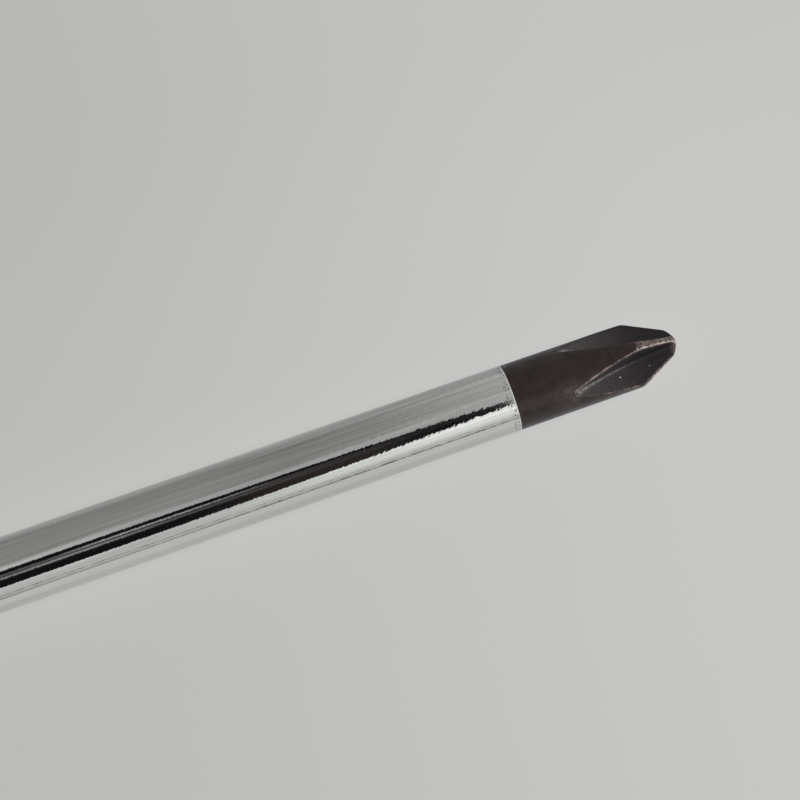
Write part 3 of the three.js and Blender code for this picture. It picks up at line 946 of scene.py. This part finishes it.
class Graph:
    """Short calls that grow one node tree. Most give back the socket to carry on from."""

    def __init__(self, tree):
        self.tree = tree
        tree.nodes.clear()

    def node(self, kind, inputs=None, **settings):
        made = self.tree.nodes.new("ShaderNode" + kind)
        for name, value in settings.items():
            setattr(made, name, value)
        for key, value in (inputs or {}).items():
            if isinstance(value, bpy.types.NodeSocket):
                self.tree.links.new(value, made.inputs[key])
            else:
                made.inputs[key].default_value = value
        return made

    def math(self, operation, *values):
        return self.node("Math", dict(enumerate(values)), operation=operation).outputs[0]

    def add(self, first, second):
        return self.math("ADD", first, second)

    def subtract(self, first, second):
        return self.math("SUBTRACT", first, second)

    def product(self, first, *others):
        for other in others:
            first = self.math("MULTIPLY", first, other)
        return first

    def centred(self, noise):
        return self.subtract(noise, 0.5)

    def weighted(self, first, second, share):
        """A share of the first value, and the rest of the second."""
        return self.add(self.product(first, share), self.product(second, 1 - share))

    def squared_share(self, value, centre, width):
        """How far a value lies from a centre, in widths, squared."""
        share = self.math("DIVIDE", self.subtract(value, centre), width)
        return self.product(share, share)

    def bell(self, value, centre, width):
        """1 at the centre, and next to nothing from about twice the width on."""
        return self.math("EXPONENT", self.product(self.squared_share(value, centre, width), -1.0))

    def between(self, value, low, high, to_low=0.0, to_high=1.0):
        """A value carried smoothly from one range to another, and held beyond it."""
        inputs = {0: value, 1: low, 2: high, 3: to_low, 4: to_high}
        return self.node("MapRange", inputs, interpolation_type="SMOOTHSTEP").outputs[0]

    def band(self, value, in_from, in_to, out_from, out_to):
        """1 inside a band and 0 outside it, with soft borders."""
        return self.product(self.between(value, in_from, in_to), self.between(value, out_to, out_from))

    def vector_math(self, operation, *values):
        made = self.node("VectorMath", dict(enumerate(values)), operation=operation)
        return made.outputs["Value" if operation in ("DOT_PRODUCT", "LENGTH") else "Vector"]

    def scaled(self, vector, factor):
        return self.node("VectorMath", {0: vector, "Scale": factor}, operation="SCALE").outputs[0]

    def split(self, vector):
        return self.node("SeparateXYZ", {0: vector}).outputs

    def combine(self, x, y, z=0.0):
        return self.node("CombineXYZ", {0: x, 1: y, 2: z}).outputs[0]

    def noise(self, vector, scale, detail=2.0, roughness=0.5):
        inputs = {"Vector": vector, "Scale": scale, "Detail": detail, "Roughness": roughness}
        return self.node("TexNoise", inputs).outputs[0]

    def cells(self, vector, scale):
        """The distance from the middle of the nearest cell."""
        return self.node("TexVoronoi", {"Vector": vector, "Scale": scale}).outputs["Distance"]

    def ramp(self, share, *stops):
        """Colours that run straight between (share, colour) stops, and are held beyond them."""
        made = self.node("ValToRGB", {0: share})
        elements = made.color_ramp.elements
        while len(elements) < len(stops):
            elements.new(1)
        for element, (position, colour) in zip(elements, stops):
            element.position = position
            element.color = shade(colour)
        return made.outputs[0]

    def graded(self, value, *stops):
        """A ramp with its stops at values instead of shares."""
        first, last = stops[0][0], stops[-1][0]
        share = self.node("MapRange", {0: value, 1: first, 2: last}).outputs[0]
        return self.ramp(share, *(((at - first) / (last - first), level) for at, level in stops))

    def mix(self, share, *colours):
        """From the first of two colours to the second, which are sockets, colours or grey levels."""
        first, second = (c if isinstance(c, bpy.types.NodeSocket) else shade(c) for c in colours)
        return self.node("Mix", {0: share, 6: first, 7: second}, data_type="RGBA").outputs[2]

    def bump(self, height, distance, strength=1.0):
        inputs = {"Height": height, "Distance": distance * MM, "Strength": strength}
        return self.node("Bump", inputs).outputs[0]

    def object_place(self):
        return self.node("TexCoord").outputs["Object"]

    def layer(self, name):
        return self.node("Attribute", attribute_name=name).outputs["Fac"]


def shade(colour):
    """A colour with its alpha, from a grey level or from red, green and blue."""
    if isinstance(colour, (int, float)):
        return (colour, colour, colour, 1.0)
    return (*colour, 1.0)


def surface(name, build, constants):
    """A Principled material. build(graph) gives the inputs that vary, and constants are set directly."""
    material = bpy.data.materials.new(name)
    material.use_nodes = True
    graph = Graph(material.node_tree)
    principled = graph.node("BsdfPrincipled", {**constants, **build(graph)})
    graph.node("OutputMaterial", {"Surface": principled.outputs[0]})
    return material


def unrolled(graph):
    """Millimetres along the bar from the plating line towards the tip, and round it from its top."""
    slope = math.tan(PLATING_LEAN)
    line_x = tip_x + (BLADE_RADIUS * slope - PLATING_LINE) * MM
    place = graph.vector_math("SUBTRACT", graph.object_place(), (line_x, 0, axis_z))
    ahead = Vector((1, slope * math.sin(PLATING_LEAN_TURN), slope * math.cos(PLATING_LEAN_TURN))) / MM
    _, y, z = graph.split(place)
    turn = graph.math("ARCTAN2", y, z)
    return graph.vector_math("DOT_PRODUCT", place, ahead), graph.product(turn, BLADE_RADIUS)


def streaks(graph, along, round_bar, length, width, detail=2.0, slant=0.0):
    """Noise drawn out into streaks of about the given length and width, along the bar or aslant."""
    flat = graph.combine(along, round_bar)
    cos, sin = math.cos(slant), math.sin(slant)
    ahead = graph.vector_math("DOT_PRODUCT", flat, (cos / length, sin / length, 0))
    aside = graph.vector_math("DOT_PRODUCT", flat, (-sin / width, cos / width, 0))
    return graph.noise(graph.combine(ahead, aside), 1.0, detail)


def tilted_normal(graph, sideways):
    """The surface normal tilted round the bar by a small angle in radians."""
    normal = graph.node("NewGeometry").outputs["Normal"]
    bar_axis = (1.0, 0.0, 0.0)
    aside = graph.scaled(graph.vector_math("CROSS_PRODUCT", bar_axis, normal), sideways)
    return graph.vector_math("NORMALIZE", graph.vector_math("ADD", normal, aside))


def painted_reflection_line(graph, along, round_bar, place, width):
    """A painted reflection of a dark horizon line: a fine line along the bar that wavers and comes and
    goes, about 1 on the line, and 0 off it.
    """
    waver = graph.noise(graph.combine(graph.product(along, WAVER_RATE), place), 1.0)
    middle = graph.add(graph.product(graph.centred(waver), WAVER), place)
    off = graph.math("ABSOLUTE", graph.subtract(round_bar, middle))
    patchy = graph.between(graph.noise(graph.combine(along, place), PATCH_RATE), 0.35, 0.6, 0.3, 1.0)
    dotted = graph.between(graph.noise(graph.combine(along, place), DOT_RATE), 0.35, 0.6, 0.65, 1.2)
    return graph.product(graph.between(off, width, width / 3), patchy, dotted)


def plated(graph):
    """Bright plating over fine lengthwise polishing lines, rougher towards the plating line, and pitted
    beside it, where a pale, dull rim along the line is a painted highlight. Two fine dark lines along the
    bar are a painted reflection of a horizon line."""
    along, round_bar = unrolled(graph)
    long_lines = streaks(graph, along, round_bar, *LONG_LINES, detail=3.0)
    broad_lines = streaks(graph, along, round_bar, *BROAD_LINES)
    strokes = streaks(graph, along, round_bar, *STROKES, detail=4.0, slant=STROKE_SLANT)
    rough_top = graph.between(round_bar, *ROUGH_TOP)
    stroke_tilt = graph.product(graph.between(along, *ROUGH_END), rough_top, STROKE_TILT)
    fine = graph.product(graph.centred(strokes), stroke_tilt)
    broad = graph.product(graph.centred(long_lines), LINE_TILT)
    lines = graph.weighted(long_lines, broad_lines, 0.6)
    lines = graph.add(lines, graph.product(graph.centred(strokes), graph.between(along, *STROKES_SHOW)))
    lines = graph.add(graph.product(graph.centred(lines), rough_top), 0.5)
    tone = graph.ramp(lines, *PLATING_TONES)
    # Painted reflection: two fine dark lines laid into the colour where the bar mirrors a dark horizon
    # line.
    for place, width, near_depth, far_depth in REFLECTED_HORIZON_LINES:
        depth = graph.between(along, *REFLECTED_LINES_FAR_TO_NEAR, far_depth, near_depth)
        line = painted_reflection_line(graph, along, round_bar, place, width)
        tone = graph.mix(graph.product(line, depth), tone, SOOT_AND_REFLECTED_DARK)
    # Painted highlight: a pale, less metallic and rougher rim along the plating line.
    rim = graph.between(along, *RIM_HIGHLIGHT_START)
    tone = graph.mix(rim, tone, PLATING_RIM_HIGHLIGHT)
    pits = graph.between(graph.noise(graph.combine(along, round_bar), PIT_RATE, 1.0), 0.58, 0.68)
    pitted = graph.product(pits, graph.band(along, *PITTED))
    return {
        "Base Color": graph.mix(pitted, tone, SOOT_AND_REFLECTED_DARK),
        "Metallic": graph.between(rim, 0.0, 1.0, 1.0, 0.2),
        "Roughness": graph.add(graph.between(strokes, *NOISE_SPAN, 0.03, 0.06), graph.product(rim, 0.4)),
        "Normal": tilted_normal(graph, graph.add(fine, broad)),
    }


def blackened(graph):
    """Black finish on ground steel, worn to brown metal along the edges and scuffed behind the flutes, with
    a painted glint on the edges of the tapered faces and a painted highlight along the flute roots.
    """
    along, round_bar = unrolled(graph)
    place = graph.object_place()
    grain = graph.noise(place, GRAIN, 3.0, 0.6)
    speckle = graph.noise(place, SPECKLE, 3.0, 0.65)
    coarse = graph.noise(place, COARSE)
    patches = graph.noise(place, PATCHES)
    grinding = streaks(graph, along, round_bar, *GRINDING, detail=3.0)
    scratches = streaks(graph, along, round_bar, *SCRATCHES, detail=3.0, slant=SCRATCH_SLANT)
    edges, faces, ground, scuffed, root_highlight = map(graph.layer, ("edges", "faces", "ground", "scuffed", "root_highlight"))

    # Worn metal along the edges. Where an edge meets a worn tapered face, and at the nick in the taper's
    # corner, it turns into a painted glint: a pale, less metallic colour.
    patchy = graph.product(
        edges,
        graph.between(patches, 0.3, 0.65, 0.6, 1.15),
        graph.between(coarse, 0.4, 0.6, 0.82, 1.1),
    )
    grainy = graph.product(graph.centred(speckle), edges, 2.2)
    on_edges = graph.between(graph.add(patchy, grainy), 0.15, 0.85)
    on_edges = graph.product(on_edges, graph.between(edges, 0.02, 0.15))
    pocked = graph.between(graph.weighted(speckle, coarse, 0.5), 0.42, 0.58, 0.15, 1.05)
    scratched = graph.product(graph.between(scratches, 0.52, 0.66), scuffed, 0.28)
    on_faces = graph.product(faces, pocked)
    worn = graph.math("MAXIMUM", graph.math("MAXIMUM", on_edges, scratched), on_faces)
    painted_glint = graph.product(on_edges, graph.between(faces, 0.2, 0.5))
    metal = graph.mix(painted_glint, WORN_STEEL, EDGE_GLINT_COLOUR)

    # The finish between the worn places: mottled on the bar, and ground in the flutes, with a pale painted
    # highlight along their roots.
    bar = graph.ramp(graph.weighted(patches, grain, 0.5), *BLACK_TONES)
    bar = graph.mix(graph.product(scuffed, 0.35), bar, BLACK_SCUFFED)
    wall = graph.ramp(grinding, *FLUTE_TONES)
    run_out = graph.product(
        graph.between(along, *RUN_OUT),
        graph.between(grinding, *NOISE_SPAN, 0.58, 0.82),
        graph.between(speckle, 0.38, 0.62, 0.55, 1.45),
    )
    wall = graph.mix(run_out, wall, FLUTE_RUN_OUT)
    # Painted highlight: a pale, mottled grey line along the roots of the flutes.
    painted_root_line = graph.product(
        root_highlight,
        graph.between(coarse, 0.42, 0.58, 0.4, 1.0),
        graph.between(speckle, 0.40, 0.60, 0.35, 1.0),
    )
    finish = graph.mix(painted_root_line, graph.mix(ground, bar, wall), ROOT_HIGHLIGHT_GREY)

    colour = graph.mix(worn, finish, metal)
    specks = graph.between(graph.cells(place, SPECKS), *SPECK_SIZE)
    return {
        "Base Color": graph.mix(specks, colour, DUST),
        "Metallic": graph.product(worn, graph.between(painted_glint, 0.0, 1.0, 1.0, 0.4)),
        "Roughness": graph.add(graph.between(grain, *NOISE_SPAN, 0.24, 0.38), graph.product(ground, 0.15)),
        "Specular IOR Level": graph.between(ground, 0.0, 1.0, 0.45, 0.22),
        "Normal": graph.bump(graph.add(grain, graph.product(grinding, 0.25)), TIP_BUMP),
    }


def moulded(tones):
    """Satin moulded plastic with a fine texture and a slight unevenness of colour."""

    def build(graph):
        place = graph.object_place()
        grain = graph.noise(place, PLASTIC_GRAIN, 3.0)
        patches = graph.noise(place, PLASTIC_PATCHES)
        return {
            "Base Color": graph.ramp(graph.weighted(grain, patches, 0.4), *tones),
            "Roughness": graph.between(grain, *NOISE_SPAN, 0.36, 0.52),
            "Normal": graph.bump(grain, PLASTIC_BUMP, 0.5),
        }

    return build


def soft_rubber(graph):
    """Matt elastomer with a leathery grain and a slight unevenness of colour."""
    place = graph.object_place()
    grain = graph.noise(place, RUBBER_GRAIN, 3.0)
    patches = graph.noise(place, RUBBER_PATCHES, 3.0)
    height = graph.add(graph.cells(place, RUBBER_CELLS), graph.product(grain, 0.6))
    return {
        "Base Color": graph.ramp(patches, *RUBBER_TONES),
        "Roughness": graph.between(grain, *NOISE_SPAN, 0.62, 0.8),
        "Normal": graph.bump(height, RUBBER_BUMP, 0.6),
    }


chrome = surface("plated_steel", plated, {})
black = surface("blackened_steel", blackened, {"Specular Tint": shade(BLACK_SHEEN)})
dark_plastic = surface("dark_plastic", moulded(CORE_TONES), {})
grey_plastic = surface("grey_plastic", moulded(RING_TONES), {})
rubber = surface("soft_grip", soft_rubber, {"Sheen Weight": 0.15, "Sheen Roughness": 0.4})

attach(make_tip(), "blade", black)
attach(make_shank(), "blade", chrome)
attach(make_core(), "handle_core", dark_plastic)
attach(make_ring(), "anti_roll_ring", grey_plastic)
attach(make_finger_sleeve(), "finger_sleeve", rubber)
attach(make_grip_sleeve(), "grip_sleeve", rubber)
attach(make_cap(), "end_cap", dark_plastic)
attach(make_inlay(), "cap_inlay", grey_plastic)


# Stage: floor, reflections, lamp and camera


def floor_tone(graph, x, y):
    """The colours that the camera sees: paler past the tip, and palest in a painted stripe of light along
    the blade, standing for light that the blade throws onto the floor.
    """
    tone = graph.mix(graph.between(x, *FLOOR_TO_FAR), FLOOR_NEAR, FLOOR_FAR)
    tone = graph.mix(graph.between(y, *FLOOR_DIMMED), tone, 0.0)
    # Painted light: a pale stripe along the blade.
    across = graph.bell(y, GLEAM_PLACE, GLEAM_WIDTH)
    painted_gleam = graph.product(across, graph.band(x, *GLEAM_ALONG), GLEAM_LEVEL)
    return graph.mix(painted_gleam, tone, FLOOR_PAINTED_GLEAM)


def mirrored_floor(graph, x, y):
    """The levels that metal sees: darker on the far side, and less so by the tip."""
    level = graph.graded(y, *MIRRORED_FLOOR)
    by_tip = graph.product(graph.between(x, *BY_TIP_ALONG), graph.between(y, *BY_TIP_ASIDE))
    level = graph.mix(by_tip, level, MIRRORED_BY_TIP)
    return graph.mix(graph.between(y, *MIRRORED_FAR_ASIDE), MIRRORED_FAR, level)


def shade_floor(graph):
    """A floor that looks much the same in any light, with enough of the lit colour to keep shadows."""
    place = graph.object_place()
    x, y, _ = graph.split(place)
    tone = floor_tone(graph, x, y)
    far = graph.between(graph.vector_math("LENGTH", place), *FLOOR_TO_BACKDROP)
    rays = graph.node("LightPath").outputs
    lit = graph.node("BsdfDiffuse", {"Color": tone}).outputs[0]
    glow = graph.node("Emission", {"Color": graph.mix(far, tone, BACKDROP)}).outputs[0]
    mirrored = graph.node("Emission", {"Color": mirrored_floor(graph, x, y)}).outputs[0]
    glowing = graph.product(rays["Is Camera Ray"], graph.between(far, 0.0, 1.0, FLOOR_GLOW, 1.0))
    direct = graph.node("MixShader", {0: glowing, 1: lit, 2: glow}).outputs[0]
    final = graph.node("MixShader", {0: rays["Is Glossy Ray"], 1: direct, 2: mirrored}).outputs[0]
    graph.node("OutputMaterial", {"Surface": final})


def make_floor():
    side = FLOOR_HALF_SIZE
    corners = [(-side, -side, 0), (side, -side, 0), (side, side, 0), (-side, side, 0)]
    mesh = bpy.data.meshes.new("floor")
    mesh.from_pydata(corners, [], [(0, 1, 2, 3)])
    floor = linked("floor", mesh)
    material = bpy.data.materials.new("floor")
    material.use_nodes = True
    material.cycles.emission_sampling = "NONE"
    shade_floor(Graph(material.node_tree))
    mesh.materials.append(material)


def room_light(graph, ahead, aside):
    """A grey room on the far side, and a panel low on the camera's side, brighter towards the tip."""
    walls = graph.graded(ahead, *WALLS)
    near_wall = graph.between(ahead, *NEAR_WALL)
    room = graph.mix(graph.between(aside, *WALLS_ASIDE), near_wall, walls)
    foot = graph.between(ahead, *PANEL_FOOT)
    head = graph.between(ahead, *PANEL_HEAD)
    panel = graph.mix(graph.between(aside, *PANEL_ASIDE), foot, head)
    return graph.mix(graph.between(aside, *ROOM_ASIDE), panel, room)


def hood_light(graph, ahead, aside):
    """The inside of a dark hood: haze, a faint glow with a gap and a glint in it, and a pale rim."""
    haze = graph.product(graph.band(ahead, *HAZE_AHEAD), graph.between(aside, *HAZE_ASIDE))
    dark = graph.mix(haze, HOOD_DARK, HOOD_HAZE)
    gap = graph.product(graph.bell(aside, *GAP), GAP_DEPTH)
    glint = graph.product(graph.bell(aside, *GLINT), graph.between(ahead, *GLINT_AHEAD))
    foot = graph.between(ahead, *GLOW_FOOT)
    glow = graph.product(
        graph.band(aside, *GLOW_ASIDE),
        graph.between(ahead, *GLOW_AHEAD),
        graph.between(aside, *GLOW_FOOT_ASIDE, foot, 1.0),
        graph.add(graph.product(graph.subtract(1.0, gap), GLOW_LEVEL), glint),
    )
    glowing = graph.mix(glow, dark, HOOD_GLOW)
    rim = graph.product(graph.bell(aside, *RIM), graph.band(ahead, *RIM_AHEAD))
    return graph.mix(rim, glowing, HOOD_RIM)


def make_world():
    """Even fill light. Metal sees a studio instead: a room, and a dark hood overhead, open in front."""
    world = bpy.data.worlds.new("studio")
    bpy.context.scene.world = world
    world.use_nodes = True
    world.cycles.sampling_method = "NONE"
    graph = Graph(world.node_tree)
    x, y, z = graph.split(graph.node("TexCoord").outputs["Generated"])
    ahead = graph.math("DEGREES", graph.math("ARCSINE", x))
    aside = graph.math("DEGREES", graph.math("ARCTAN2", y, z))
    from_hood = graph.add(
        graph.squared_share(ahead, *HOOD_AHEAD),
        graph.squared_share(aside, *HOOD_ASIDE),
    )
    past_edge = graph.between(from_hood, *HOOD_EDGE)
    past_hood = graph.math("MAXIMUM", past_edge, graph.between(ahead, *HOOD_FRONT))
    studio = graph.mix(past_hood, hood_light(graph, ahead, aside), room_light(graph, ahead, aside))
    rays = graph.node("LightPath").outputs
    light = graph.mix(rays["Is Glossy Ray"], FILL_LEVEL, studio)
    seen = graph.mix(rays["Is Camera Ray"], light, BACKDROP)
    background = graph.node("Background", {"Color": seen})
    graph.node("OutputWorld", {"Surface": background.outputs[0]})


def make_lamp():
    data = bpy.data.lights.new("key", "AREA")
    data.shape = "DISK"
    data.size = LAMP_SIZE
    data.energy = LAMP_POWER
    lamp = linked("key", data)
    lamp.location = LAMP_PLACE
    lamp.rotation_euler = (Vector((0, 0, axis_z)) - LAMP_PLACE).to_track_quat("-Z", "Y").to_euler()
    lamp.visible_glossy = False


def make_camera():
    data = bpy.data.cameras.new("camera")
    data.lens = CAMERA_LENS
    data.sensor_width = CAMERA_SENSOR
    data.clip_start = CAMERA_NEAR
    camera = linked("camera", data)
    ahead = (CAMERA_AIM - CAMERA_PLACE).normalized()
    right = ahead.cross(Vector((0, 1, 0))).normalized()
    level = Matrix((right, right.cross(ahead), -ahead)).transposed()
    rolled = level @ Matrix.Rotation(CAMERA_ROLL, 3, "Z")
    camera.matrix_world = Matrix.Translation(CAMERA_PLACE) @ rolled.to_4x4()
    bpy.context.scene.camera = camera


make_floor()
make_world()
make_lamp()
make_camera()
bpy.context.scene.view_settings.view_transform = "Standard"
